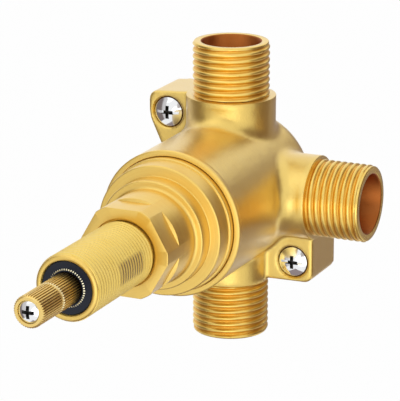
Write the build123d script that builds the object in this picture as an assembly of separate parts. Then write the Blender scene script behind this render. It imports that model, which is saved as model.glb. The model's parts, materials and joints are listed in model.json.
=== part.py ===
from build123d import *
import math
import os

os.makedirs("parts", exist_ok=True)

# Shower diverter valve, in millimetres.
# The origin is where the port axes cross the stem axis. +Z runs up the top port, +X along the
# side port, and the stem comes out towards -Y. The valve is fixed with its back, at +Y, to the wall.

# Clearances between pieces
screwed_gap = 0.05      # radial, between a male and a female thread, both drawn at their crests
running_gap = 0.05      # radial, between a turning piece and its bore
end_gap = 0.05          # axial, beside a turning piece
seal_gap = 0.02         # between a rubber ring and the wall it seals on
push_gap = 0.05         # radial, between pieces that are pushed together
edge_break = 0.3        # small chamfer on turned edges
overrun = 1.0           # how far a cutter runs past what it cuts

# Body casting
barrel_radius = 19.75
barrel_front = 39.0     # port axes to the front rim
barrel_back = 16.0      # port axes to the mounting plane
back_round = 8.0
rim_break = 0.35
port_reach = 41.0       # port axes to the end of each nipple
nipple_radius = 10.5    # crest of the half inch pipe thread
nipple_lip = 0.4
port_bore_radius = 8.1
port_bore_depth = 22.0
gallery_radius = 5.5
collar_radius = 12.24
collar_height = 6.45    # above the barrel
side_neck_radius = 11.45
side_neck_height = 6.25
bottom_neck_radius = 10.75
bottom_neck_height = 6.05
collar_blend = 4.0
side_blend = 4.0
bottom_blend = 2.5

# Screw ears
ear_in_x = 0.95         # barrel's side in to the screw axis
ear_in_z = 0.55         # barrel's top or bottom in to the screw axis
ear_front = 0.7         # port axes to the ears' front faces
ear_side = 5.8          # screw axis to the ear's outer side
ear_end = 5.5           # screw axis to the ear's top or bottom
ear_corner = 2.4
ear_taper_from = 1.5    # screw axis down to where the upper ear starts to taper
ear_taper_to = 5.0
ear_taper_in = 1.0
ear_taper_round = 9.0
ear_rise = 1.1          # slope of the upper ear's top towards the collar
ear_drop = 0.35         # slope of the lower ear's underside towards the bottom neck
ear_round = 0.6
ear_recess_radius = 4.45
ear_recess_depth = 1.4
ear_recess_edge = 0.4
ear_screw_radius = 2.0
ear_screw_length = 11.0
ear_hole_spare = 1.5
ear_head_radius = 4.05
ear_head_height = 2.0
ear_head_edge = 0.9     # height of the head's rim under the dome

# Chamber and cartridge
chamber_radius = 14.0
chamber_floor = 4.0     # wall between the chamber and the back
shell_wall = 2.95
shell_end_wall = 2.5
shell_flange = 2.0
shell_flange_gap = 0.35 # radial, inside the body's thread
window_radius = 6.95
seat_bore = 5.2
seat_height = 1.6
mouth_depth = 5.0       # wider bore in the shell's mouth
mouth_step = 1.0
shell_ring_from_front = 8.0
ring_section = 1.6      # thickness of the larger rubber rings
small_ring_section = 1.2

# Rotor and end stops
rotor_nose = 19.0       # port axes to the rotor's front face
rotor_ring_from_front = 5.0
pivot_radius = 3.0
pivot_length = 2.2
washer_thickness = 0.8
tang_width = 4.0
tang_length = 3.5
tang_spare = 0.5        # beyond each end of the tang, in the rotor's slot
stem_flange = 2.9
stem_flange_in = 4.0    # radial, from the shell's mouth to the stem's flange
stop_pin_radius = 1.2
stop_pin_in = 1.7       # shell's mouth to the pin's tip
stop_pin_sunk = 3.5
stop_ring_gap = 0.5     # radial, round the stem's flange
quarter_turn = 90.0
stop_gap = 1.5          # degrees of play before the pin meets its stop
stop_key_width = 3.0

# Bonnet, whose lengths follow each other forwards from the body's rim
flange_wall = 1.65      # body's rim outside the bonnet's flange
flange_seat = 2.0       # counterbore in the body's rim
flange_gap = 0.3
flange_stand = 1.75     # flange in front of the body's rim
flange_over_thread = 1.6
bonnet_shank = 8.0      # threaded length behind the flange
step_in = 0.6
step_length = 5.25
boss_over_neck = 2.1
boss_length = 4.5
neck_radius = 12.5
neck_length = 16.1
neck_foot = 0.9
hex_across = 23.0
hex_length = 6.8
relief_radius = 7.0     # wider bore between the stem's rings and the sleeve
relief_land = 4.0
bonnet_ring_from_seat = 2.2

# Threaded sleeve
sleeve_radius = 8.6     # crest of the fine thread
sleeve_length = 30.6    # bonnet's face to the sleeve's end
sleeve_spigot_radius = 8.3
sleeve_screwed_in = 9.6
sleeve_bore = 6.95
sleeve_lip = 0.5
sleeve_recess = 0.3     # radial, counterbore round the sleeve in the bonnet's face
sleeve_recess_depth = 1.0

# Stem, bush and handle screw
journal_radius = 5.0
stem_ring_from_nose = 7.25
stem_ring_spacing = 5.0
clip_thickness = 0.8
clip_radius = 6.3
clip_groove = 0.9
clip_mouth = 6.5
serration_radius = 4.65
serration_depth = 0.3
serration_count = 56
bush_length = 6.4
bush_recess = 0.4       # bush face behind the sleeve's end
spline_radius = 4.1
spline_depth = 0.32
spline_count = 40
spline_groove_from_end = 10.3
spline_groove_width = 0.5
spline_groove_depth = 0.45
stem_stand = 19.1       # stem's end in front of the sleeve's
stem_lip = 0.5
screw_head_radius = 2.87
screw_head_height = 2.4
screw_head_stand = 0.4
screw_radius = 1.7
screw_length = 11.0
screw_hole_spare = 1.5
recess_slot = 0.9
recess_depth = 1.1
recess_margin = 1.1     # from the ends of the cross recess to the head's edge
recess_taper = 12.0
recess_ahead = 0.2


def turned(profile, broken=(), rounded=()):
    """Revolve a closed outline of (radius, y) corners about the stem axis."""
    face = make_face(Polyline(profile, close=True))
    for number, size in broken:
        face = chamfer(face.vertices().sort_by_distance(profile[number])[0], size)
    for number, size in rounded:
        face = fillet(face.vertices().sort_by_distance(profile[number])[0], size)
    return revolve(face, axis=Axis.Y)


def tube(outer, inner, start, end):
    """A plain ring about the stem axis between two places along it."""
    return turned([(inner, start), (outer, start), (outer, end), (inner, end)])


def rod(direction, radius, start, end):
    """A cylinder along a direction, between two distances from the origin."""
    base = Plane(origin=Vector(*direction) * start, z_dir=direction)
    return extrude(base * Circle(radius), end - start)


def axial_rod(radius, start, end):
    """A cylinder on the stem axis between two places along it."""
    return rod((0, 1, 0), radius, start, end)


def rubber_ring(inner, section, y):
    """A round-section ring about the stem axis."""
    return Pos(0, y, 0) * Rot(90, 0, 0) * Torus(inner + section / 2, section / 2)


def cross_recess(head_radius, face_y):
    """Two crossed slots that taper inwards, from just ahead of a face at face_y into a head."""
    span = 2 * (head_radius - recess_margin)
    face = Plane(origin=(0, face_y - recess_ahead, 0), x_dir=(1, 0, 0), z_dir=(0, 1, 0))
    arm = extrude(face * Rectangle(span, recess_slot), recess_ahead + recess_depth, taper=recess_taper)
    return arm + Rot(0, 90, 0) * arm


# Places along the stem axis that several pieces share. The front is negative.
rim_y = -barrel_front
seat_y = rim_y + flange_seat
shell_front_y = seat_y + bonnet_shank
shoulder_y = shell_front_y + shell_flange
shell_ring_y = shell_front_y + shell_ring_from_front
floor_y = barrel_back - chamber_floor
shell_end_y = floor_y - shell_end_wall
rotor_back_y = shell_end_y - washer_thickness - end_gap
rotor_front_y = -rotor_nose
rotor_ring_y = rotor_front_y + rotor_ring_from_front
stop_y = shell_front_y + mouth_depth
flange_y = stop_y - stem_flange
pin_y = stop_y - stem_flange / 2
washer_y = flange_y - end_gap - washer_thickness
bonnet_ring_y = seat_y + bonnet_ring_from_seat
flange_front_y = rim_y - flange_stand
step_front_y = flange_front_y - step_length
boss_front_y = step_front_y - boss_length
neck_front_y = boss_front_y - neck_length
sleeve_y = neck_front_y + sleeve_screwed_in
sleeve_front_y = neck_front_y - sleeve_length
clip_y = sleeve_y - running_gap - clip_thickness / 2
bush_y = sleeve_front_y + bush_recess
collar_y = bush_y + bush_length
stem_front_y = sleeve_front_y - stem_stand
head_floor_y = stem_front_y - screw_head_stand + screw_head_height
ear_floor_y = -ear_front + ear_recess_depth
ear_hole_end_y = ear_floor_y + ear_screw_length + ear_hole_spare

# Radii that several pieces share
flange_radius = barrel_radius - flange_wall
step_radius = flange_radius - step_in
bonnet_thread_radius = flange_radius - flange_over_thread
body_thread_radius = bonnet_thread_radius + screwed_gap
shell_flange_radius = body_thread_radius - shell_flange_gap
shell_radius = chamber_radius - push_gap
shell_bore = shell_radius - shell_wall
mouth_radius = shell_bore + mouth_step
rotor_radius = shell_bore - running_gap
bonnet_bore = journal_radius + running_gap
boss_radius = neck_radius + boss_over_neck
stem_flange_radius = mouth_radius - stem_flange_in
stop_ring_bore = stem_flange_radius + stop_ring_gap
stop_pin_root = stem_flange_radius - stop_pin_sunk
bonnet_ring_floor = body_thread_radius - seal_gap - small_ring_section
stem_ring_floor = bonnet_bore - seal_gap - small_ring_section
clip_floor = journal_radius - clip_groove

ear_x = barrel_radius - ear_in_x
ear_z = barrel_radius - ear_in_z
ear_places = {"upper": (-ear_x, ear_z), "lower": (ear_x, -ear_z)}
stem_ring_places = {
    "inner": washer_y - stem_ring_from_nose,
    "outer": washer_y - stem_ring_from_nose - stem_ring_spacing,
}
ports = {"top": (0, 0, 1), "side": (1, 0, 0), "bottom": (0, 0, -1)}
necks = {
    "top": (collar_radius, barrel_radius + collar_height, collar_blend),
    "side": (side_neck_radius, barrel_radius + side_neck_height, side_blend),
    "bottom": (bottom_neck_radius, barrel_radius + bottom_neck_height, bottom_blend),
}


def ear_outline_block(corners, rounded):
    """A screw ear: an outline in the port plane, carried back to the mounting plane."""
    plane = Plane(origin=(0, -ear_front, 0), x_dir=(1, 0, 0), z_dir=(0, -1, 0))
    outline = make_face(Polyline(corners, close=True))
    for number, size in rounded:
        outline = fillet(outline.vertices().sort_by_distance(corners[number])[0], size)
    return extrude(plane * outline, -(ear_front + barrel_back))


def upper_ear():
    """The ear beside the top collar. Its outer side tapers down to the barrel."""
    outer = -ear_x - ear_side
    top = ear_z + ear_end
    inner = -port_bore_radius
    corners = [
        (outer, top),
        (outer, ear_z - ear_taper_from),
        (-barrel_radius + ear_taper_in, ear_taper_to),
        (inner, ear_taper_to),
        (inner, top + ear_rise),
    ]
    return ear_outline_block(corners, ((0, ear_corner), (1, ear_taper_round)))


def lower_ear():
    """The ear under the side neck and beside the bottom neck."""
    outer = ear_x + ear_side
    bottom = -ear_z - ear_end
    inner = port_bore_radius
    corners = [(outer, bottom), (outer, -inner), (inner, -inner), (inner, bottom - ear_drop)]
    return ear_outline_block(corners, ((0, ear_corner),))


def edges_on_ear_front(body):
    return body.edges().filter_by_position(Axis.Y, -ear_front - 0.01, -ear_front + 0.01)


def join_ear(body, block):
    """Join an ear, then round its front edges and the corner where it meets the casting."""
    joined = body + block
    front = [e for e in edges_on_ear_front(joined) if block.distance_to(e @ 0.5) < 0.01]
    return fillet(front, ear_round)


def neck_root(body, direction, radius):
    """The edges where a neck of this radius runs into the barrel."""
    axis = Vector(*direction)
    root = []
    for edge in body.edges().filter_by(GeomType.BSPLINE):
        spots = [edge @ place for place in (0, 0.4, 0.8)]
        off_axis = [(spot - axis * spot.dot(axis)).length for spot in spots]
        if spots[1].dot(axis) > 0 and max(abs(off - radius) for off in off_axis) < 0.02:
            root.append(edge)
    return root


def valve_body():
    """The casting: barrel, three necks and two ears, then its machined bores and seats."""
    body = turned(
        [(0, barrel_back), (barrel_radius, barrel_back), (barrel_radius, rim_y), (0, rim_y)],
        broken=((2, rim_break),),
        rounded=((1, back_round),),
    )
    for name, (radius, reach, blend) in necks.items():
        body = body + rod(ports[name], radius, 0, reach)
        body = fillet(neck_root(body, ports[name], radius), blend)
    body = join_ear(body, upper_ear())
    body = join_ear(body, lower_ear())

    for name, direction in ports.items():
        nipple = rod(direction, nipple_radius, 0, port_reach)
        end = nipple.edges().sort_by(Axis((0, 0, 0), direction))[-1]
        body = body + chamfer(end, nipple_lip)

    body = body - turned([
        (0, floor_y),
        (chamber_radius, floor_y),
        (chamber_radius, shoulder_y),
        (body_thread_radius, shoulder_y),
        (body_thread_radius, seat_y),
        (flange_radius + flange_gap, seat_y),
        (flange_radius + flange_gap, rim_y - overrun),
        (0, rim_y - overrun),
    ])
    for direction in ports.values():
        body = body - rod(direction, gallery_radius, 0, port_reach)
        body = body - rod(direction, port_bore_radius, port_reach - port_bore_depth, port_reach + overrun)

    for x, z in ear_places.values():
        recess = axial_rod(ear_recess_radius, -ear_front - overrun, ear_floor_y)
        hole = axial_rod(ear_screw_radius + screwed_gap, ear_floor_y, ear_hole_end_y)
        body = body - Pos(x, 0, z) * recess - Pos(x, 0, z) * hole
    rolled = [
        e for e in edges_on_ear_front(body).filter_by(GeomType.CIRCLE)
        if abs(e.radius - ear_recess_radius) < 0.01
    ]
    return fillet(rolled, ear_recess_edge)


def ear_screw(place):
    """A machine screw with a domed head and a cross recess, down on the ear's recess floor."""
    x, z = ear_places[place]
    face_y = ear_floor_y - ear_head_height
    dome = TangentArc((0, face_y), (ear_head_radius, ear_floor_y - ear_head_edge), tangent=(1, 0))
    rest = Polyline(
        (ear_head_radius, ear_floor_y - ear_head_edge),
        (ear_head_radius, ear_floor_y),
        (ear_screw_radius, ear_floor_y),
        (ear_screw_radius, ear_floor_y + ear_screw_length),
        (0, ear_floor_y + ear_screw_length),
        (0, face_y),
    )
    screw = revolve(make_face(dome + rest), axis=Axis.Y)
    return Pos(x, 0, z) * (screw - cross_recess(ear_head_radius, face_y))


def cartridge_shell():
    """A cup for the rotor, with a window at each port and a flange that the bonnet clamps."""
    shell = turned([
        (0, floor_y),
        (shell_radius, floor_y),
        (shell_radius, shoulder_y),
        (shell_flange_radius, shoulder_y),
        (shell_flange_radius, shell_front_y),
        (mouth_radius, shell_front_y),
        (mouth_radius, stop_y),
        (shell_bore, stop_y),
        (shell_bore, shell_end_y),
        (0, shell_end_y),
    ])
    for direction in ports.values():
        shell = shell - rod(direction, window_radius, 0, shell_flange_radius)
    shell = shell - axial_rod(pivot_radius + running_gap, shell_end_y - overrun, floor_y + overrun)
    groove = ring_groove_radius(shell_radius, ring_section)
    shell = shell - ring_groove(groove, shell_radius, ring_section, shell_ring_y)
    return shell - stop_key(push_gap)


def ring_groove_radius(wall, section):
    """Floor radius of a groove whose ring stands out to just short of the wall round it."""
    return wall + push_gap - seal_gap - section


def ring_groove(floor, wall, width, y):
    """The square groove, open to the outside, that a ring or clip lies in."""
    return tube(wall + overrun, floor, y - width / 2, y + width / 2)


def stop_key(spare):
    """The key on the stop ring, or with some spare its slot in the shell's mouth."""
    width = stop_key_width + 2 * spare
    depth = (mouth_radius + shell_radius) / 2 + spare
    face = Plane(origin=(0, shell_front_y, 0), x_dir=(1, 0, 0), z_dir=(0, 1, 0))
    key = extrude(face * Pos(0, -depth / 2) * Rectangle(width, depth), mouth_depth + spare)
    return key


def port_ring(direction, inner, low, high):
    """A tube in a port's window, trimmed to two radii about the stem axis."""
    outer = window_radius - push_gap
    ring = rod(direction, outer, 0, high + overrun) - rod(direction, inner, 0, high + overrun)
    return ring & tube(high, low, -window_radius, window_radius)


def port_seat(direction):
    return port_ring(direction, seat_bore, shell_bore, shell_bore + seat_height)


def port_seal(direction):
    low = shell_bore + seat_height + seal_gap
    return port_ring(direction, gallery_radius, low, chamber_radius - seal_gap)


def rotor():
    """A drum with an L-shaped waterway. At rest it joins the side port to the top port."""
    drum = turned([
        (0, rotor_back_y),
        (rotor_radius, rotor_back_y),
        (rotor_radius, rotor_front_y),
        (0, rotor_front_y),
    ], broken=((1, edge_break), (2, edge_break)))
    drum = drum + axial_rod(pivot_radius, rotor_back_y - overrun, rotor_back_y + pivot_length)
    groove = ring_groove_radius(rotor_radius, ring_section)
    drum = drum - ring_groove(groove, rotor_radius, ring_section, rotor_ring_y)
    for name in ("top", "side"):
        drum = drum - rod(ports[name], seat_bore, 0, rotor_radius + overrun)
    drum = drum - Sphere(seat_bore)
    slot_depth = tang_length + end_gap
    slot = Box(2 * (journal_radius + tang_spare), slot_depth, tang_width + 2 * push_gap)
    return drum - Pos(0, rotor_front_y + slot_depth / 2, 0) * slot


def washer(bore, shaft, y):
    """A thrust washer in a bore and round a shaft, with its front face at y."""
    return tube(bore - push_gap, shaft + 2 * running_gap, y, y + washer_thickness)


def stop_ring():
    """A ring in the shell's mouth with an open arc that lets the stop pin turn a quarter."""
    ring = tube(mouth_radius - push_gap, stop_ring_bore, flange_y, stop_y)
    pin_half = math.degrees(math.asin(stop_pin_radius / stem_flange_radius))
    sweep = quarter_turn + 2 * (pin_half + stop_gap)
    section = Pos(mouth_radius / 2, pin_y) * Rectangle(mouth_radius, stem_flange + overrun)
    opening = revolve(section, axis=Axis.Y, revolution_arc=sweep)
    key = stop_key(0) & tube(shell_radius, (mouth_radius + stop_ring_bore) / 2, flange_y, stop_y)
    return ring - Rot(0, -pin_half - stop_gap, 0) * opening + key


def stop_pin():
    """The pin pressed across the stem's flange that meets the ends of the stop ring."""
    return Pos(0, pin_y, 0) * rod((1, 0, 0), stop_pin_radius, stop_pin_root, mouth_radius - stop_pin_in)


def bonnet():
    """A turned bonnet: threaded shank, flange, three steps and a neck with six milled flats."""
    sleeve_mouth = sleeve_radius + sleeve_recess
    mouth_floor_y = neck_front_y + sleeve_recess_depth
    relief_back_y = stem_ring_places["outer"] - relief_land
    relief_front_y = sleeve_y + relief_land
    profile = [
        (bonnet_bore, washer_y),
        (mouth_radius - push_gap, washer_y),
        (mouth_radius - push_gap, shell_front_y),
        (bonnet_thread_radius, shell_front_y),
        (bonnet_thread_radius, seat_y),
        (flange_radius, seat_y),
        (flange_radius, flange_front_y),
        (step_radius, flange_front_y),
        (step_radius, step_front_y),
        (boss_radius, step_front_y),
        (boss_radius, boss_front_y),
        (neck_radius, boss_front_y),
        (neck_radius, neck_front_y),
        (sleeve_mouth, neck_front_y),
        (sleeve_mouth, mouth_floor_y),
        (sleeve_spigot_radius + screwed_gap, mouth_floor_y),
        (sleeve_spigot_radius + screwed_gap, sleeve_y),
        (bonnet_bore, sleeve_y),
        (bonnet_bore, relief_front_y),
        (relief_radius, relief_front_y),
        (relief_radius, relief_back_y),
        (bonnet_bore, relief_back_y),
    ]
    edges = ((6, edge_break), (8, edge_break), (10, edge_break))
    part = turned(profile, broken=edges, rounded=((11, neck_foot),))
    flat = Box(4 * neck_radius, hex_length, neck_radius)
    flat = Pos(0, neck_front_y + hex_length / 2, (hex_across + neck_radius) / 2) * flat
    for number in range(6):
        part = part - Rot(0, 60 * number, 0) * flat
    return part - ring_groove(bonnet_ring_floor, bonnet_thread_radius, small_ring_section, bonnet_ring_y)


def threaded_sleeve():
    """The finely threaded tube, on a spigot that screws into the bonnet."""
    return turned([
        (sleeve_bore, sleeve_y),
        (sleeve_spigot_radius, sleeve_y),
        (sleeve_spigot_radius, neck_front_y),
        (sleeve_radius, neck_front_y),
        (sleeve_radius, sleeve_front_y),
        (sleeve_bore, sleeve_front_y),
    ], broken=((4, sleeve_lip),))


def toothed(crest, depth, count, start, end):
    """A splined or serrated length: trapezoid teeth round the stem axis."""
    root = crest - depth
    step = 2 * math.pi / count
    outline = []
    for tooth in range(count):
        for share, radius in ((0.0, root), (0.25, crest), (0.6, crest), (0.85, root)):
            angle = (tooth + share) * step
            outline.append((radius * math.cos(angle), radius * math.sin(angle)))
    plane = Plane(origin=(0, start, 0), x_dir=(1, 0, 0), z_dir=(0, -1, 0))
    return extrude(plane * make_face(Polyline(outline, close=True)), start - end)


def stem():
    """The turned stem: tang, stop flange, sealed journal, serrated collar and splined end."""
    shaft = turned([
        (0, rotor_front_y),
        (journal_radius, rotor_front_y),
        (journal_radius, stop_y),
        (stem_flange_radius, stop_y),
        (stem_flange_radius, flange_y),
        (journal_radius, flange_y),
        (journal_radius, collar_y),
        (0, collar_y),
    ])
    tang = Box(2 * journal_radius, tang_length, tang_width)
    tang = Pos(0, rotor_front_y + tang_length / 2, 0) * tang
    shaft = shaft + (tang & axial_rod(journal_radius, rotor_front_y, rotor_front_y + tang_length))
    shaft = shaft + toothed(serration_radius, serration_depth, serration_count, collar_y, bush_y)

    end = turned(
        [(0, bush_y), (spline_radius, bush_y), (spline_radius, stem_front_y), (0, stem_front_y)],
        broken=((2, stem_lip),),
    )
    shaft = shaft + (end & toothed(spline_radius, spline_depth, spline_count, bush_y, stem_front_y))
    groove_y = stem_front_y + spline_groove_from_end
    shaft = shaft - turned([
        (spline_radius - spline_groove_depth, groove_y),
        (spline_radius + spline_groove_depth, groove_y - spline_groove_width),
        (spline_radius + spline_groove_depth, groove_y + spline_groove_width),
    ])

    for y in stem_ring_places.values():
        shaft = shaft - ring_groove(stem_ring_floor, journal_radius, small_ring_section, y)
    shaft = shaft - ring_groove(clip_floor, journal_radius, clip_thickness, clip_y)
    pin_hole = rod((1, 0, 0), stop_pin_radius, stop_pin_root, stem_flange_radius + overrun)
    head_hole = axial_rod(screw_head_radius + push_gap, stem_front_y - overrun, head_floor_y)
    hole_end_y = head_floor_y + screw_length + screw_hole_spare
    screw_hole = axial_rod(screw_radius + screwed_gap, head_floor_y, hole_end_y)
    return shaft - Pos(0, pin_y, 0) * pin_hole - head_hole - screw_hole


def stem_clip():
    """An open spring clip in the stem's groove."""
    ring = tube(clip_radius, clip_floor, clip_y - clip_thickness / 2, clip_y + clip_thickness / 2)
    mouth = Box(2 * clip_radius, 2 * clip_thickness, clip_mouth)
    return ring - Pos(clip_radius, clip_y, 0) * mouth


def stem_bush():
    """The black bush on the serrated collar, which runs in the sleeve's mouth."""
    return turned([
        (serration_radius + push_gap, collar_y),
        (sleeve_bore - running_gap, collar_y),
        (sleeve_bore - running_gap, bush_y),
        (serration_radius + push_gap, bush_y),
    ], broken=((2, edge_break),))


def handle_screw():
    """The cross-recess screw that holds a handle on the stem, sunk in the stem's end."""
    face_y = head_floor_y - screw_head_height
    screw = turned([
        (0, face_y),
        (screw_head_radius, face_y),
        (screw_head_radius, head_floor_y),
        (screw_radius, head_floor_y),
        (screw_radius, head_floor_y + screw_length),
        (0, head_floor_y + screw_length),
    ], broken=((1, edge_break),))
    return screw - cross_recess(screw_head_radius, face_y)


pieces = {
    "valve_body": valve_body(),
    "bonnet": bonnet(),
    "threaded_sleeve": threaded_sleeve(),
    "ear_screw_upper": ear_screw("upper"),
    "ear_screw_lower": ear_screw("lower"),
    "cartridge_shell": cartridge_shell(),
    "shell_o_ring": rubber_ring(ring_groove_radius(shell_radius, ring_section), ring_section, shell_ring_y),
    "bonnet_o_ring": rubber_ring(bonnet_ring_floor, small_ring_section, bonnet_ring_y),
    "stop_ring": stop_ring(),
    "front_washer": washer(mouth_radius, journal_radius, washer_y),
    "rear_washer": washer(shell_bore, pivot_radius, shell_end_y - washer_thickness),
    "stem": stem(),
    "stop_pin": stop_pin(),
    "stem_clip": stem_clip(),
    "stem_bush": stem_bush(),
    "handle_screw": handle_screw(),
    "rotor": rotor(),
    "rotor_o_ring": rubber_ring(ring_groove_radius(rotor_radius, ring_section), ring_section, rotor_ring_y),
}
for name, direction in ports.items():
    pieces["seat_" + name] = port_seat(direction)
    pieces["seal_" + name] = port_seal(direction)
for name, y in stem_ring_places.items():
    pieces["stem_o_ring_" + name] = rubber_ring(stem_ring_floor, small_ring_section, y)

for name, solid in pieces.items():
    export_step(solid, "parts/" + name + ".step")
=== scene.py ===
import json
import math
import bmesh
import bpy
from mathutils import Matrix, Vector


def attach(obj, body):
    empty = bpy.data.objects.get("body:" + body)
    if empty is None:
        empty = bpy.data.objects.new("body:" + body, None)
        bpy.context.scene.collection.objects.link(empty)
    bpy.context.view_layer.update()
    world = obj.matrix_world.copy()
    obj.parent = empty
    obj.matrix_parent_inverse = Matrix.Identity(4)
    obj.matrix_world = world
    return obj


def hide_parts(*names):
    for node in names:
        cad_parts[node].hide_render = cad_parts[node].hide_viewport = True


for name in ("Cube", "Camera", "Light"):
    spare = bpy.data.objects.get(name)
    if spare:
        bpy.data.objects.remove(spare)

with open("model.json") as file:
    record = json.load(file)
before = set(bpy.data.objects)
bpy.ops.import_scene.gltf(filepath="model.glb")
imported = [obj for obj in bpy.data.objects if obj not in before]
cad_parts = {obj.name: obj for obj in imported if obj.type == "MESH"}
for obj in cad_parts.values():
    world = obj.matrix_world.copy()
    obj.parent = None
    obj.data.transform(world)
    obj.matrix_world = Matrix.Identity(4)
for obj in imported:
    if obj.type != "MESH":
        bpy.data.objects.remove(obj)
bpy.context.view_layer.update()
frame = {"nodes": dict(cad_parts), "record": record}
nodes_of = frame["nodes"]
link = bpy.context.scene.collection.objects.link


# The photograph's view, found by fitting the ring edges, the port axes and the ear screws.
# A long lens from the front right, a little above.
camera_data = bpy.data.cameras.new("camera")
camera_data.lens = 216.05
camera_data.sensor_width = 36.0
camera_data.clip_start = 0.05
camera_data.clip_end = 20.0
camera = bpy.data.objects.new("camera", camera_data)
camera.location = (0.257907, -0.581574, 0.184479)
aim = Vector((-0.007239, -0.004562, -0.003788)) - camera.location
camera.rotation_euler = aim.to_track_quat("-Z", "Y").to_euler()
link(camera)
bpy.context.scene.camera = camera


# The body casting. A sand-cast brass barrel with three necks and two ears, shot-blasted to a
# satin skin, with soft edges wherever it is not machined. The wall fixes it by its two ears.
def new_material(name, colour, roughness, metallic=1.0):
    """A new node material, with its nodes, its links and its shader at hand."""
    material = bpy.data.materials.new(name)
    material.use_nodes = True
    tree = material.node_tree
    shader = tree.nodes["Principled BSDF"]
    shader.inputs["Base Color"].default_value = (*colour, 1)
    shader.inputs["Metallic"].default_value = metallic
    shader.inputs["Roughness"].default_value = roughness
    return material, tree.nodes, tree.links, shader


def lacquer(shader, roughness, weight=1.0):
    """The thin clear film that keeps brass from tarnishing. It makes grazing views paler."""
    shader.inputs["Coat Weight"].default_value = weight
    shader.inputs["Coat Roughness"].default_value = roughness
    shader.inputs["Coat IOR"].default_value = 1.6


def object_place(nodes):
    """The place on the object, in metres."""
    return nodes.new("ShaderNodeTexCoord").outputs["Object"]


def noise_on(nodes, links, place, scale, detail=2.0):
    """Noise with a number of bumps to the metre."""
    noise = nodes.new("ShaderNodeTexNoise")
    noise.inputs["Scale"].default_value = scale
    noise.inputs["Detail"].default_value = detail
    noise.inputs["Roughness"].default_value = 0.5
    links.new(place, noise.inputs["Vector"])
    return noise.outputs["Fac"]


def ramp_on(nodes, links, value, stops):
    """A colour from a value, by stops of (value, colour)."""
    ramp = nodes.new("ShaderNodeValToRGB")
    elements = ramp.color_ramp.elements
    while len(elements) < len(stops):
        elements.new(0.5)
    for element, (position, colour) in zip(elements, stops):
        element.position = position
        element.color = (*colour, 1)
    links.new(value, ramp.inputs["Fac"])
    return ramp.outputs["Color"]


def spread(nodes, links, value, low, high, start=0.3, end=0.7):
    """Map a value from the range start to end on to the range low to high."""
    spread_node = nodes.new("ShaderNodeMapRange")
    spread_node.inputs["From Min"].default_value = start
    spread_node.inputs["From Max"].default_value = end
    spread_node.inputs["To Min"].default_value = low
    spread_node.inputs["To Max"].default_value = high
    links.new(value, spread_node.inputs["Value"])
    return spread_node.outputs["Result"]


def tint_by(nodes, links, shader, noise, dark, pale):
    """Vary the base colour between two tones."""
    tones = ramp_on(nodes, links, noise, ((0.3, dark), (0.7, pale)))
    links.new(tones, shader.inputs["Base Color"])


def roughen_by(nodes, links, shader, noise, low, high):
    """Vary the roughness between two values."""
    links.new(spread(nodes, links, noise, low, high), shader.inputs["Roughness"])


def bump_with(nodes, links, shader, height, distance, strength=1.0, under=None):
    """Bumps of a height in metres, on top of the bumps that lie under them."""
    bump = nodes.new("ShaderNodeBump")
    bump.inputs["Strength"].default_value = strength
    bump.inputs["Distance"].default_value = distance
    links.new(height, bump.inputs["Height"])
    if under:
        links.new(under, bump.inputs["Normal"])
    links.new(bump.outputs["Normal"], shader.inputs["Normal"])
    return bump.outputs["Normal"]


def new_piece(name, mesh, body, slot, *materials, smooth_angle=math.radians(35)):
    """A finished piece of the scene, riding on a body. The slot is not used."""
    piece = bpy.data.objects.new(name, mesh)
    link(piece)
    for material in materials:
        mesh.materials.append(material)
    mesh.shade_smooth()
    mesh.set_sharp_from_angle(angle=smooth_angle)
    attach(piece, body)
    return piece


def mesh_of(bm, name):
    mesh = bpy.data.meshes.new(name)
    bm.to_mesh(mesh)
    bm.free()
    return mesh


def holder_of(mesh):
    """An object that holds a mesh while modifiers shape it."""
    holder = bpy.data.objects.new("holder", mesh)
    link(holder)
    return holder


def cut_from(holder, mesh, *materials):
    """Cut a mesh out of a holder. The walls of the cut take the materials, if there are any."""
    cutter = bpy.data.objects.new("cutter", mesh)
    for material in materials:
        mesh.materials.append(material)
    link(cutter)
    cut = holder.modifiers.new("cut", "BOOLEAN")
    cut.operation = "DIFFERENCE"
    cut.object = cutter
    cut.solver = "EXACT"
    if materials:
        cut.material_mode = "TRANSFER"
    return cut


def baked(holder):
    """The mesh that a holder's modifiers give. The holder and its cutters are removed."""
    cutters = [step.object for step in holder.modifiers if step.type == "BOOLEAN"]
    graph = bpy.context.evaluated_depsgraph_get()
    mesh = bpy.data.meshes.new_from_object(holder.evaluated_get(graph), depsgraph=graph)
    for helper in (holder, *cutters):
        bpy.data.objects.remove(helper)
    return mesh


def direction_frame(direction):
    """A direction and two unit vectors square to it."""
    along = Vector(direction)
    side = Vector((0, 0, 1)) if abs(along.z) < 0.5 else Vector((1, 0, 0))
    side = (side - along * side.dot(along)).normalized()
    return along, side, along.cross(side)


def spot_on(axes, angle, radius, place):
    """A spot at an angle and a radius about an axis, from millimetres to metres."""
    along, side, other = axes
    return (along * place + (side * math.cos(angle) + other * math.sin(angle)) * radius) * 0.001


def circles(bm, direction, spots, segments):
    """A circle of vertices about an axis for each (radius, place along the axis)."""
    axes = direction_frame(direction)
    rings = []
    for radius, place in spots:
        angles = [2 * math.pi * number / segments for number in range(segments)]
        rings.append([bm.verts.new(spot_on(axes, angle, radius, place)) for angle in angles])
    return rings


def lathe(name, profile, direction=(0, 1, 0), segments=160):
    """Turn a closed outline of (radius, place along the axis) about an axis, in millimetres."""
    bm = bmesh.new()
    rings = circles(bm, direction, profile, segments)
    for first, second in zip(rings, rings[1:] + rings[:1]):
        for number in range(segments):
            after = (number + 1) % segments
            bm.faces.new((first[number], first[after], second[after], second[number]))
    bmesh.ops.recalc_face_normals(bm, faces=bm.faces)
    return mesh_of(bm, name)


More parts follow.
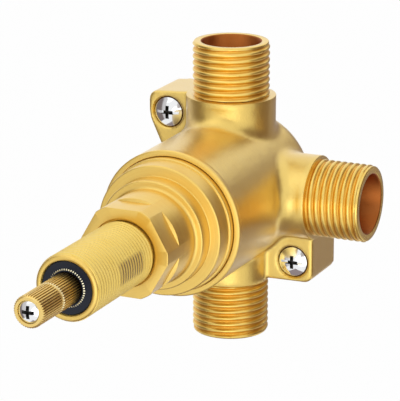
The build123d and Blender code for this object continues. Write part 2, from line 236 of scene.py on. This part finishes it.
cast_brass, nodes, links, shader = new_material("cast_brass", (0.85, 0.60, 0.20), 0.36)
lacquer(shader, 0.35)
place = object_place(nodes)
cloud = noise_on(nodes, links, place, 55, 3)
tint_by(nodes, links, shader, cloud, (0.83, 0.57, 0.11), (0.88, 0.63, 0.15))
grain = noise_on(nodes, links, place, 2600)
roughen_by(nodes, links, shader, grain, 0.31, 0.42)
dents = noise_on(nodes, links, place, 260, 3)
skin = bump_with(nodes, links, shader, dents, 0.0004, 0.35)
bump_with(nodes, links, shader, grain, 0.0001, 0.5, under=skin)

# For each port, its direction and how far from the valve's centre its neck reaches.
neck_ends = {"top": ((0, 0, 1), 26.2), "side": ((1, 0, 0), 26.0), "bottom": ((0, 0, -1), 25.8)}
past_neck, past_port = 14, 48

bm = bmesh.new()
bm.from_mesh(nodes_of["valve_body"].data)
bmesh.ops.remove_doubles(bm, verts=bm.verts, dist=1e-6)
holder = holder_of(mesh_of(bm, "holder"))
for direction, reach in neck_ends.values():
    outline = ((0.001, reach), (past_neck, reach), (past_neck, past_port), (0.001, past_port))
    cut_from(holder, lathe("cutter", outline, direction, 32))
remesh = holder.modifiers.new("remesh", "REMESH")
remesh.mode = "VOXEL"
remesh.voxel_size = 0.0005
soften = holder.modifiers.new("soften", "SMOOTH")
soften.factor = 0.5
soften.iterations = 3
casting = new_piece(
    "casting", baked(holder), "valve", "cast_brass", cast_brass, smooth_angle=math.radians(80),
)
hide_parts("valve_body")


# The machined front rim of the body, a narrow turned ring round the bonnet's flange.
# It is part of the casting and sits on its front edge.
def turning_place(nodes, links):
    """Coordinates that follow a turned surface: the radius, and the place along the stem axis."""
    split = nodes.new("ShaderNodeSeparateXYZ")
    links.new(object_place(nodes), split.inputs[0])
    ring = nodes.new("ShaderNodeCombineXYZ")
    links.new(split.outputs["X"], ring.inputs["X"])
    links.new(split.outputs["Z"], ring.inputs["Z"])
    length = nodes.new("ShaderNodeVectorMath")
    length.operation = "LENGTH"
    links.new(ring.outputs[0], length.inputs[0])
    place = nodes.new("ShaderNodeCombineXYZ")
    links.new(length.outputs["Value"], place.inputs["X"])
    links.new(split.outputs["Y"], place.inputs["Y"])
    return place.outputs[0]


turned_brass, nodes, links, shader = new_material("turned_brass", (0.91, 0.63, 0.17), 0.38)
lacquer(shader, 0.35)
lines = noise_on(nodes, links, turning_place(nodes, links), 1500)
tint_by(nodes, links, shader, lines, (0.88, 0.59, 0.11), (0.92, 0.65, 0.14))
roughen_by(nodes, links, shader, lines, 0.40, 0.48)
bump_with(nodes, links, shader, lines, 0.00002, 0.25)

rim = lathe("body_rim", (
    (18.2, -36.0), (18.2, -38.85), (18.35, -39.02), (19.35, -39.02), (19.6, -38.93),
    (19.76, -38.75), (19.78, -38.5), (19.78, -37.4), (19.4, -36.6), (19.0, -36.0),
))
new_piece("body_rim", rim, "valve", "cast_brass", turned_brass)


# The ends of the three necks, faced and turned clean when the threads were cut, so that their
# edges are crisp where the rest of the casting is soft. They are part of the casting.
neck_inside = 9.4
for port, radius in (("top", 12.26), ("side", 11.47), ("bottom", 10.77)):
    direction, reach = neck_ends[port]
    turned_end = lathe(port + "_neck_end", (
        (neck_inside, reach - 3.2), (radius - 0.12, reach - 3.2), (radius, reach - 1.6),
        (radius, reach - 0.2), (radius - 0.06, reach - 0.06), (radius - 0.2, reach),
        (neck_inside, reach),
    ), direction)
    new_piece(port + "_neck_end", turned_end, "valve", "cast_brass", cast_brass)


# The three nipples, cut with the right-handed half inch pipe thread, 14 to the inch. They are
# part of the casting. Inside, the bored waterway runs back to the ledge beside the chamber.
thread_segments = 144
weld = 2e-7


def threaded_surface(
    bm, direction, start, end, pitch, first_crest, radii, run_in, teeth, root_shade_material=0,
):
    """A thread's outer surface as rings along its helix. Both ends close on plain circles.
    The radii are those of the crest, the root and the far end. The teeth are rows of
    (share of the pitch, height from root 0 to crest 1)."""
    axes = direction_frame(direction)
    crest, root, tip = radii
    root_height = 0.6
    per_turn = len(teeth)
    turns_before = math.ceil((first_crest - start) / pitch) + 2
    turns_after = math.ceil((end - first_crest) / pitch) + 1
    grid, heights = [], []
    for row in range(-turns_before * per_turn, turns_after * per_turn + 1):
        share, height = teeth[row % per_turn]
        base = first_crest + (row // per_turn + share) * pitch
        heights.append(height)
        line = []
        for number in range(thread_segments):
            turn = number / thread_segments
            place = min(max(base + turn * pitch, start), end)
            rise = min(1.0, (place - start) / run_in)
            radius = root + (crest - root) * height * rise
            if place >= end:
                radius = tip
            line.append(bm.verts.new(spot_on(axes, 2 * math.pi * turn, radius, place)))
        grid.append(line)
    for row in range(len(grid) - 1 - per_turn):
        for number in range(thread_segments):
            if number + 1 < thread_segments:
                after, above = grid[row][number + 1], grid[row + 1][number + 1]
            else:
                after, above = grid[row + per_turn][0], grid[row + 1 + per_turn][0]
            face = bm.faces.new((grid[row][number], after, above, grid[row + 1][number]))
            # Faces low in the valleys take the painted shade of the roots.
            if max(heights[row], heights[row + 1]) < root_height:
                face.material_index = root_shade_material


def ring_band(bm, direction, spots, material_index=0):
    """Bands of faces through circles of (radius, place), joined in turn."""
    rings = circles(bm, direction, spots, thread_segments)
    for first, second in zip(rings, rings[1:]):
        for number in range(thread_segments):
            after = (number + 1) % thread_segments
            face = bm.faces.new((first[number], second[number], second[after], first[after]))
            face.material_index = material_index


def welded(bm, name):
    """The mesh of a thread and its bands, joined where their circles meet."""
    bmesh.ops.remove_doubles(bm, verts=bm.verts, dist=weld)
    bmesh.ops.recalc_face_normals(bm, faces=bm.faces)
    return mesh_of(bm, name)


thread_brass, nodes, links, shader = new_material("thread_brass", (0.94, 0.70, 0.22), 0.30)
lacquer(shader, 0.3, 0.3)
lines = noise_on(nodes, links, object_place(nodes), 300, 3)
tint_by(nodes, links, shader, lines, (0.89, 0.62, 0.14), (0.93, 0.67, 0.18))
roughen_by(nodes, links, shader, lines, 0.27, 0.33)

# The valleys take a darker, more orange copy of the brass: painted shade and a painted reflection
# of the brass flanks.
root_shade_brass, nodes, links, shader = new_material("root_shade_brass", (0.80, 0.40, 0.07), 0.38)
lines = noise_on(nodes, links, object_place(nodes), 300, 3)
tint_by(nodes, links, shader, lines, (0.80, 0.43, 0.06), (0.86, 0.50, 0.09))

# The bores take a dark red-brown copy of the brass as painted shade.
bore_shade_brass, nodes, links, shader = new_material("bore_shade_brass", (0.42, 0.13, 0.03), 0.45)
lines = noise_on(nodes, links, object_place(nodes), 240, 3)
tint_by(nodes, links, shader, lines, (0.37, 0.105, 0.02), (0.46, 0.15, 0.035))
roughen_by(nodes, links, shader, lines, 0.40, 0.52)
bump_with(nodes, links, shader, lines, 0.00004, 0.3)

pipe_pitch = 1.814
pipe_crest, pipe_root, pipe_tip = 10.5, 9.88, 10.2
pipe_run_in, pipe_end, port_face = 0.35, 40.4, 41.0
bore, ledge, gallery = 8.05, 19.05, 5.5
pipe_teeth = (
    (0.0, 1.0), (0.08, 0.97), (0.16, 0.84), (0.25, 0.56), (0.34, 0.26), (0.42, 0.07),
    (0.50, 0.0), (0.58, 0.07), (0.66, 0.26), (0.75, 0.56), (0.84, 0.84), (0.92, 0.97),
)
first_crests = {"top": 26.68, "side": 25.16, "bottom": 25.70}
for port, (direction, reach) in neck_ends.items():
    start = reach - 0.1
    bm = bmesh.new()
    threaded_surface(
        bm, direction, start, pipe_end, pipe_pitch, first_crests[port],
        (pipe_crest, pipe_root, pipe_tip), pipe_run_in, pipe_teeth, root_shade_material=2,
    )
    ring_band(bm, direction, (
        (pipe_tip, pipe_end), (pipe_tip, 40.85), (10.05, port_face), (8.35, port_face),
    ))
    ring_band(bm, direction, (
        (8.35, port_face), (bore, 40.7), (bore, ledge), (gallery, ledge), (gallery, 18.9),
    ), 1)
    ring_band(bm, direction, (
        (gallery, 18.9), (8.8, 18.9), (8.8, start), (pipe_root, start),
    ))
    new_piece(
        port + "_nipple", welded(bm, port + "_nipple"), "valve", "cast_brass",
        thread_brass, bore_shade_brass, root_shade_brass, smooth_angle=math.radians(50),
    )


# The bonnet, turned from brass bar in three steps and screwed into the body. Six flats are
# milled on its neck for a wrench, and its edges are broken only slightly.
def rounded(corners, steps=5):
    """A closed outline whose corners (radius, place, rounding) become arcs."""
    outline = []
    for number, (radius, place, rounding) in enumerate(corners):
        here = Vector((radius, place))
        if rounding == 0:
            outline.append((radius, place))
            continue
        before = Vector(corners[number - 1][:2]) - here
        after = Vector(corners[(number + 1) % len(corners)][:2]) - here
        start = here + before.normalized() * rounding
        end = here + after.normalized() * rounding
        for step in range(steps + 1):
            t = step / steps
            spot = start * (1 - t) ** 2 + here * 2 * t * (1 - t) + end * t ** 2
            outline.append((spot.x, spot.y))
    return outline


def spoke(angle):
    """Unit vectors away from the stem axis at an angle, and square to both."""
    out = Vector((math.sin(angle), 0, math.cos(angle)))
    return out, Vector((math.cos(angle), 0, -math.sin(angle)))


def add_bar(bm, rings, material_index=0):
    """A closed bar through rings of four corners, from millimetres to metres."""
    rings = [[bm.verts.new(corner * 0.001) for corner in ring] for ring in rings]
    faces = [bm.faces.new(rings[0]), bm.faces.new(rings[-1])]
    for first, second in zip(rings, rings[1:]):
        for number in range(4):
            after = (number + 1) % 4
            faces.append(
                bm.faces.new((first[number], first[after], second[after], second[number]))
            )
    for face in faces:
        face.material_index = material_index


flat_distance, past_flat, half_flat = 11.5, 16, 9
flat_corners = (
    (flat_distance, -half_flat), (past_flat, -half_flat),
    (past_flat, half_flat), (flat_distance, half_flat),
)
holder = holder_of(lathe("bonnet", rounded((
    (11.95, -27.75, 0), (11.95, -29.0, 0), (16.5, -29.0, 0), (16.5, -37.0, 0),
    (18.1, -37.0, 0), (18.1, -40.75, 0.45), (17.5, -40.75, 0), (17.5, -46.0, 0.55),
    (14.6, -46.0, 0.3), (14.6, -50.5, 0.5), (12.5, -50.5, 0.9), (12.5, -66.6, 0.25),
    (8.95, -66.6, 0.15), (8.95, -65.6, 0), (8.35, -65.6, 0), (8.35, -57.0, 0),
    (5.05, -57.0, 0), (5.05, -27.75, 0),
)), segments=192))
bm = bmesh.new()
for number in range(6):
    out, across = spoke(math.radians(60 * number))
    add_bar(bm, [
        [out * r + across * w + Vector((0, y, 0)) for r, w in flat_corners]
        for y in (-59.8, -70)
    ])
bmesh.ops.recalc_face_normals(bm, faces=bm.faces)
cut_from(holder, mesh_of(bm, "cutter")).use_self = True
edge = holder.modifiers.new("edge", "BEVEL")
edge.width = 0.00012
edge.segments = 2
edge.limit_method = "ANGLE"
edge.angle_limit = math.radians(40)
bonnet = new_piece("bonnet_turned", baked(holder), "valve", "turned_brass", turned_brass)
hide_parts("bonnet")


# The sleeve, a brass tube with a fine thread for the wall plate's nut. It screws into the
# bonnet and is left plain for a few millimetres beside it.
def times(nodes, links, *values):
    """The product of several node values."""
    total = values[0]
    for value in values[1:]:
        product = nodes.new("ShaderNodeMath")
        product.operation = "MULTIPLY"
        links.new(total, product.inputs[0])
        links.new(value, product.inputs[1])
        total = product.outputs[0]
    return total


def band(nodes, links, value, start, full, fading, end):
    """1 for a value from full to fading, and 0 for one before start or past end."""
    return times(
        nodes, links,
        spread(nodes, links, value, 0, 1, start, full),
        spread(nodes, links, value, 1, 0, fading, end),
    )


def turning_parts(nodes, links):
    """The radius, and the place along the stem axis, as two values."""
    split = nodes.new("ShaderNodeSeparateXYZ")
    links.new(turning_place(nodes, links), split.inputs[0])
    return split.outputs["X"], split.outputs["Y"]


def lay_colour(nodes, links, shader, amount, colour):
    """Lay a colour over the base colour by an amount from 0 to 1."""
    under = shader.inputs["Base Color"].links[0].from_socket
    mix = nodes.new("ShaderNodeMix")
    mix.data_type = "RGBA"
    links.new(amount, mix.inputs["Factor"])
    links.new(under, mix.inputs["A"])
    mix.inputs["B"].default_value = (*colour, 1)
    links.new(mix.outputs["Result"], shader.inputs["Base Color"])


sleeve_brass, nodes, links, shader = new_material(
    "sleeve_brass", (0.96, 0.72, 0.18), 0.50, metallic=0.6,
)
lacquer(shader, 0.4, 0.7)
place = object_place(nodes)
lines = noise_on(nodes, links, place, 300, 3)
tint_by(nodes, links, shader, lines, (0.94, 0.68, 0.13), (0.97, 0.73, 0.17))
roughen_by(nodes, links, shader, lines, 0.48, 0.56)

# A patch of the thread's valleys is coloured dark brown. The angle about the stem axis
# counts from straight up toward the side port.
split = nodes.new("ShaderNodeSeparateXYZ")
links.new(place, split.inputs[0])
around = nodes.new("ShaderNodeMath")
around.operation = "ARCTAN2"
links.new(split.outputs["X"], around.inputs[0])
links.new(split.outputs["Z"], around.inputs[1])
patch_angles = [math.radians(angle) for angle in (63, 71, 101, 109)]
radius, _ = turning_parts(nodes, links)
dark_patch = times(
    nodes, links,
    band(nodes, links, around.outputs[0], *patch_angles),
    band(nodes, links, split.outputs["Y"], -0.0850, -0.0838, -0.0722, -0.0714),
    spread(nodes, links, radius, 0.95, 0, 0.0084, 0.0086),
)
lay_colour(nodes, links, shader, dark_patch, (0.17, 0.07, 0.012))

forward = (0, -1, 0)
sleeve_pitch, sleeve_first_crest, sleeve_run_in = 1.27, 67.69, 0.3
sleeve_crest, sleeve_root, sleeve_tip = 8.6, 8.05, 8.4
sleeve_back, sleeve_start, sleeve_end, sleeve_face = 57.0, 66.7, 96.6, 97.2
sleeve_bore = 6.95
sleeve_teeth = (
    (0.0, 1.0), (0.15, 1.0), (0.21, 0.92), (0.42, 0.08),
    (0.50, 0.0), (0.58, 0.08), (0.79, 0.92), (0.85, 1.0),
)
bm = bmesh.new()
threaded_surface(
    bm, forward, sleeve_start, sleeve_end, sleeve_pitch, sleeve_first_crest,
    (sleeve_crest, sleeve_root, sleeve_tip), sleeve_run_in, sleeve_teeth,
)
ring_band(bm, forward, ((sleeve_tip, sleeve_end), (sleeve_tip, 96.8)))
ring_band(bm, forward, (
    (sleeve_tip, 96.8), (8.05, sleeve_face), (7.1, sleeve_face), (sleeve_bore, 97.05),
), 1)
ring_band(bm, forward, (
    (sleeve_bore, 97.05), (sleeve_bore, sleeve_back),
    (sleeve_root, sleeve_back), (sleeve_root, sleeve_start),
))
sleeve = new_piece(
    "sleeve_threaded", welded(bm, "sleeve"), "valve", "sleeve_brass",
    sleeve_brass, turned_brass, smooth_angle=math.radians(50),
)
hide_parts("threaded_sleeve")


# The pieces that keep their CAD shape: the splined brass stem, its black bush, and the
# cartridge inside, which shows only when the valve is taken apart.
def uneven_finish(name, colour, roughness, metallic, scale, low, high):
    """A material of one colour whose roughness varies between low and high."""
    material, nodes, links, shader = new_material(name, colour, roughness, metallic)
    noise = noise_on(nodes, links, object_place(nodes), scale)
    roughen_by(nodes, links, shader, noise, low, high)
    return material


stem_brass, nodes, links, shader = new_material("stem_brass", (0.94, 0.70, 0.24), 0.40)
lines = noise_on(nodes, links, object_place(nodes), 700, 3)
tint_by(nodes, links, shader, lines, (0.90, 0.64, 0.20), (0.95, 0.72, 0.28))
bump_with(nodes, links, shader, lines, 0.00003, 0.2)
# The valleys between the splines are painted dark as painted shade, the groove across them is
# painted pale as a painted highlight, and the end beside the bush is painted near black as
# painted shade and a painted reflection of the black bush.
radius, along_stem = turning_parts(nodes, links)
valley_shade = times(
    nodes, links,
    spread(nodes, links, radius, 0.8, 0, 0.00385, 0.00402),
    spread(nodes, links, along_stem, 0, 1, -0.1158, -0.1154),
)
lay_colour(nodes, links, shader, valley_shade, (0.20, 0.09, 0.02))
# Painted highlight: a pale ring on the groove.
groove_highlight = band(nodes, links, along_stem, -0.1067, -0.1064, -0.1056, -0.1053)
lay_colour(nodes, links, shader, groove_highlight, (1.0, 0.86, 0.50))
# Painted shade and a painted reflection of the bush, near black on the end beside it.
bush_shade = times(
    nodes, links,
    spread(nodes, links, radius, 1, 0, 0.0043, 0.0044),
    spread(nodes, links, along_stem, 0, 0.95, -0.1015, -0.0978),
)
lay_colour(nodes, links, shader, bush_shade, (0.04, 0.022, 0.012))

rotor_brass, nodes, links, shader = new_material("rotor_brass", (0.85, 0.66, 0.33), 0.22)
lines = noise_on(nodes, links, turning_place(nodes, links), 3000)
bump_with(nodes, links, shader, lines, 0.00004, 0.4)

black_plastic, nodes, links, shader = new_material(
    "black_plastic", (0.016, 0.020, 0.034), 0.4, metallic=0.0,
)
shader.inputs["Specular IOR Level"].default_value = 0.25
lines = noise_on(nodes, links, object_place(nodes), 2500)
roughen_by(nodes, links, shader, lines, 0.34, 0.48)
bump_with(nodes, links, shader, lines, 0.00003, 0.4)

chrome = uneven_finish("chrome", (0.86, 0.87, 0.88), 0.08, 1.0, 800, 0.05, 0.12)
finishes = {
    "cast_brass": cast_brass,
    "turned_brass": turned_brass,
    "sleeve_brass": sleeve_brass,
    "stem_brass": stem_brass,
    "rotor_brass": rotor_brass,
    "black_plastic": black_plastic,
    "chrome": chrome,
    "steel": uneven_finish("steel", (0.55, 0.55, 0.56), 0.3, 1.0, 1500, 0.24, 0.38),
    "shell_plastic": uneven_finish(
        "shell_plastic", (0.78, 0.78, 0.74), 0.42, 0.0, 2500, 0.38, 0.5,
    ),
    "seat_plastic": uneven_finish(
        "seat_plastic", (0.88, 0.88, 0.85), 0.3, 0.0, 2500, 0.26, 0.36,
    ),
    "rubber": uneven_finish("rubber", (0.022, 0.022, 0.022), 0.55, 0.0, 3000, 0.48, 0.62),
}
for row in frame["record"]["subparts"]:
    node = nodes_of[row["node"]]
    node.data.materials.clear()
    node.data.materials.append(finishes[row["material_slot"]])


# The three cross-recess screws, of plated steel: two with domed heads in the ears, and one with
# a low domed head that holds a handle on the stem. The punched recess walls are painted near
# black as painted shade, and a dark ring painted as shade fills the gap between an ear screw's
# head and the bored edge of its ear.
# Near-black paint on the recess walls and on the ring in the gap: painted shade.
recess_shade = uneven_finish("recess_shade", (0.035, 0.033, 0.03), 0.5, 0.6, 900, 0.40, 0.60)
gap_shade = uneven_finish("gap_shade", (0.11, 0.05, 0.012), 0.7, 0.3, 900, 0.6, 0.8)


def dome(radius, crest, rise, steps=8):
    """The outline of a domed face from its crest out to its rim."""
    shares = [number / steps for number in range(steps + 1)]
    return [(max(0.001, radius * share), crest + rise * share ** 2) for share in shares]


def cross_screw(name, profile, face, span, width, depth, run_out=()):
    """A turned screw on the stem axis with a cross recess cut from its face.
    A run_out (reach, depth) carries the level arms on to the rim as a shallow bright slot."""
    holder = holder_of(lathe(name, profile, segments=96))
    holder.data.materials.append(chrome)
    upright = (Vector((1, 0, 0)), Vector((0, 0, 1)))
    level = (Vector((0, 0, 1)), Vector((-1, 0, 0)))
    # Rows of (place, half width, reach), from before the face to the floor of the cut.
    arms = (
        (face - 0.5, width / 2, span),
        (face + 0.4, width / 2, span - 0.15),
        (face + depth, width / 3, span * 0.45),
    )
    cuts = [(upright, arms, 0), (level, arms, 0)]
    if run_out:
        reach, floor = run_out
        slot = ((face - 0.6, 0.42, reach), (face + floor, 0.36, reach))
        cuts.append((level, slot, 1))
    bm = bmesh.new()
    for (across, along), rows, material_index in cuts:
        add_bar(bm, [
            [
                across * s * half + along * t * arm + Vector((0, y, 0))
                for s, t in ((-1, -1), (1, -1), (1, 1), (-1, 1))
            ]
            for y, half, arm in rows
        ], material_index)
    bmesh.ops.recalc_face_normals(bm, faces=bm.faces)
    cut_from(holder, mesh_of(bm, "cutter"), recess_shade, chrome).use_self = True
    return baked(holder)


ear_face, ear_radius, ear_seat, ear_screw_end = -1.3, 4.05, 0.7, 11.7
ear_profile = dome(ear_radius, ear_face, 1.1) + [
    (ear_radius, ear_seat), (2.0, ear_seat), (2.0, ear_screw_end), (0.001, ear_screw_end),
]
gap_profile = ((3.98, 0.69), (3.98, 0.0), (4.10, 0.0), (4.40, 0.45), (4.44, 0.69))
for ear, x, z in (("upper", -18.8, 19.2), ("lower", 18.8, -19.2)):
    to_ear = Matrix.Translation((x * 0.001, 0, z * 0.001))
    mesh = cross_screw("ear_screw", ear_profile, ear_face, 1.95, 1.0, 1.2, run_out=(3.8, 0.75))
    mesh.transform(to_ear)
    screw = new_piece("ear_screw_" + ear + "_head", mesh, "valve", "chrome")
    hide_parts("ear_screw_" + ear)
    # A dark ring painted as shade fills the gap round the head.
    ring = lathe("gap_ring", gap_profile)
    ring.transform(to_ear)
    new_piece("ear_gap_shade_" + ear, ring, "valve", "chrome", gap_shade)

handle_face, handle_seat, handle_screw_end = -116.7, -114.3, -103.3
handle_profile = dome(2.8, handle_face, 0.8) + [
    (2.87, -115.8), (2.87, handle_seat), (1.7, handle_seat), (1.7, handle_screw_end),
    (0.001, handle_screw_end),
]
mesh = cross_screw("handle_screw", handle_profile, handle_face, 1.75, 0.9, 1.2)
screw = new_piece("handle_screw_head", mesh, "stem_assembly", "chrome")
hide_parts("handle_screw")


# The black bush's inner lip, which laps over the root of the serrated collar, and the tips of
# the collar's brass teeth, which were upset when the bush was pressed on. The tips' pale colour
# is a painted glint.
lip = lathe("bush_lip", (
    (4.12, -96.2), (4.12, -96.95), (4.2, -97.02), (4.46, -97.02), (4.54, -96.95), (4.54, -96.2),
))
new_piece("bush_lip", lip, "stem_assembly", "black_plastic", black_plastic)

# Pale brass for the tips: a painted glint.
tip_glint_brass = uneven_finish("tip_glint_brass", (1.0, 0.93, 0.66), 0.35, 1.0, 700, 0.30, 0.42)
tip_count, tip_inner, tip_outer = 48, 4.54, 4.9
# Rows of (place at the inner edge, place at the outer edge, half width).
tip_rows = ((-96.3, -96.3, 0.14), (-97.0, -96.82, 0.14), (-97.05, -96.87, 0.12))
bm = bmesh.new()
for number in range(tip_count):
    out, across = spoke(2 * math.pi * number / tip_count)
    add_bar(bm, [
        [
            out * tip_inner - across * half + Vector((0, inner_y, 0)),
            out * tip_outer - across * half + Vector((0, outer_y, 0)),
            out * tip_outer + across * half + Vector((0, outer_y, 0)),
            out * tip_inner + across * half + Vector((0, inner_y, 0)),
        ]
        for inner_y, outer_y, half in tip_rows
    ])
bmesh.ops.recalc_face_normals(bm, faces=bm.faces)
new_piece("collar_tips", mesh_of(bm, "collar_tips"), "stem_assembly", "stem_brass", tip_glint_brass)


# The studio: a pale floor well below the valve, a white surround, two large soft lamps, and
# five cloth flags round the valve that give the polished metal its darker sides.
def panel(name, size, location, toward, material):
    """A flat board that faces a spot."""
    bm = bmesh.new()
    bmesh.ops.create_grid(bm, x_segments=1, y_segments=1, size=0.5)
    board = bpy.data.objects.new(name, mesh_of(bm, name))
    board.scale = (size[0], size[1], 1)
    board.location = location
    facing = Vector(toward) - Vector(location)
    board.rotation_euler = facing.to_track_quat("Z", "Y").to_euler()
    board.data.materials.append(material)
    link(board)
    return board


def seen_directly(nodes, links):
    """1 for camera, glossy and transmission rays, else 0."""
    path = nodes.new("ShaderNodeLightPath")
    seen = path.outputs["Is Camera Ray"]
    for ray in ("Is Glossy Ray", "Is Transmission Ray"):
        either = nodes.new("ShaderNodeMath")
        either.operation = "MAXIMUM"
        links.new(seen, either.inputs[0])
        links.new(path.outputs[ray], either.inputs[1])
        seen = either.outputs[0]
    return seen


# The floor's own paint keeps a small share of what is seen, so that the shadow shows on it.
floor_glow = 0.96
floor_paint, nodes, links, shader = new_material("floor_paint", (0.9, 0.9, 0.9), 0.8, 0.0)
glow = nodes.new("ShaderNodeEmission")
glow.inputs["Strength"].default_value = 1.0
share = nodes.new("ShaderNodeMath")
share.operation = "MULTIPLY"
share.inputs[1].default_value = floor_glow
links.new(seen_directly(nodes, links), share.inputs[0])
mix = nodes.new("ShaderNodeMixShader")
links.new(share.outputs[0], mix.inputs[0])
links.new(shader.outputs[0], mix.inputs[1])
links.new(glow.outputs[0], mix.inputs[2])
links.new(mix.outputs[0], nodes["Material Output"].inputs["Surface"])
panel("floor", (14, 14), (0, 0, -0.6), (0, 0, 1), floor_paint)


def flag(name, azimuth, elevation, distance, width, height, colour):
    """A cloth flag that only the metal sees, placed by its direction from the valve.
    The azimuth counts from the front toward the side port. Gives the cloth's nodes back."""
    cloth, nodes, links, shader = new_material(name, (0, 0, 0), 1.0, 0.0)
    shader.inputs["Emission Color"].default_value = (*colour, 1)
    shader.inputs["Emission Strength"].default_value = 1.0
    turn, rise = math.radians(azimuth), math.radians(elevation)
    level = math.cos(rise)
    toward = Vector((math.sin(turn) * level, -math.cos(turn) * level, math.sin(rise)))
    board = panel(name, (width, height), toward * distance, (0, 0, 0), cloth)
    board.visible_camera = False
    board.visible_shadow = False
    board.visible_diffuse = False
    return nodes, links, shader


flag("flag_right", 114, 6, 0.75, 0.92, 1.20, (0.20, 0.135, 0.12))
flag("flag_back", 168, -7, 0.85, 0.62, 0.88, (0.33, 0.28, 0.29))
flag("flag_front", 26, 16, 0.90, 0.36, 0.30, (0.50, 0.45, 0.42))
flag("flag_low", -140, -88, 0.32, 0.50, 0.50, (0.30, 0.24, 0.24))

# The left flag is nearly black in its middle, so that the chrome heads show a crisp dark side.
left_middle = (0.20, 0.16, 0.15)
left_tones = (
    (0.0, (0.66, 0.64, 0.64)), (0.22, (0.62, 0.60, 0.60)), (0.30, left_middle),
    (0.70, left_middle), (0.78, (0.70, 0.68, 0.68)), (1.0, (0.75, 0.73, 0.73)),
)
nodes, links, shader = flag("flag_left", -71, 0, 0.45, 0.73, 0.74, left_middle)
across_board = nodes.new("ShaderNodeSeparateXYZ")
links.new(object_place(nodes), across_board.inputs[0])
board_share = spread(nodes, links, across_board.outputs["X"], 0, 1, -0.5, 0.5)
links.new(ramp_on(nodes, links, board_share, left_tones), shader.inputs["Emission Color"])

# The surround is white where it is seen or mirrored, and a little dimmer as a light.
world = bpy.data.worlds.new("studio")
bpy.context.scene.world = world
world.use_nodes = True
nodes, links = world.node_tree.nodes, world.node_tree.links
background = nodes["Background"]
mix = nodes.new("ShaderNodeMix")
mix.data_type = "RGBA"
mix.inputs["A"].default_value = (0.80, 0.80, 0.81, 1)
mix.inputs["B"].default_value = (1.0, 1.0, 1.0, 1)
links.new(seen_directly(nodes, links), mix.inputs["Factor"])
links.new(mix.outputs["Result"], background.inputs["Color"])
background.inputs["Strength"].default_value = 1.0

for name, size, power, location in (
    ("key", 1.2, 1.0, (-0.5, -0.7, 0.9)),
    ("fill", 0.9, 1.9, (0.35, -1.0, -0.15)),
):
    lamp_data = bpy.data.lights.new(name, "AREA")
    lamp_data.shape = "DISK"
    lamp_data.size = size
    lamp_data.energy = power
    lamp = bpy.data.objects.new(name, lamp_data)
    lamp.location = location
    lamp.rotation_euler = (-Vector(location)).to_track_quat("-Z", "Y").to_euler()
    link(lamp)

bpy.context.scene.view_settings.view_transform = "Standard"

bpy.context.view_layer.update()
